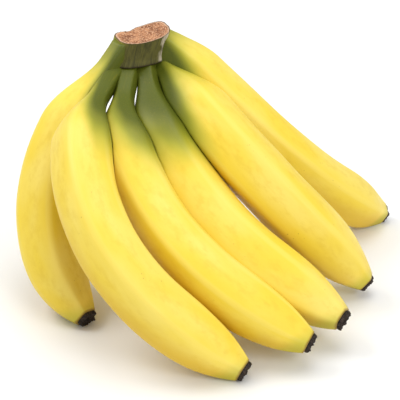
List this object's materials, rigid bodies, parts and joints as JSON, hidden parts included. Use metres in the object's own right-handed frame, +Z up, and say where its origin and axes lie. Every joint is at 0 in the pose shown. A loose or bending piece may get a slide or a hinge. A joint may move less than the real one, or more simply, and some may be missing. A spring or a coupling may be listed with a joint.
{
  "type": "bunch of bananas",
  "caption": "Hand of ripe yellow bananas on one cut crown, standing like a claw on its fruit, with green-tinged stalks and dark dried flower ends.",
  "frame": {"origin": "centre of the footprint of the whole bunch, on the surface that it rests on", "axes": "+Z up; the fruit tips point to +X and towards -Y, and the crown stands to the back at -X and +Y"},
  "size_m": [0.22, 0.186, 0.1332],
  "materials": {
    "peel": "satin, waxy",
    "crown": "dry, fibrous",
    "flower_end": "dry, rough"
  },
  "bodies": {
    "root": {"crown": "crown", "finger_1": "peel", "finger_2": "peel", "finger_3": "peel", "finger_4": "peel", "finger_5": "peel", "finger_6": "peel", "flower_end_1": "flower_end", "flower_end_2": "flower_end", "flower_end_3": "flower_end", "flower_end_4": "flower_end", "flower_end_5": "flower_end", "flower_end_6": "flower_end"}
  },
  "joints": []
}
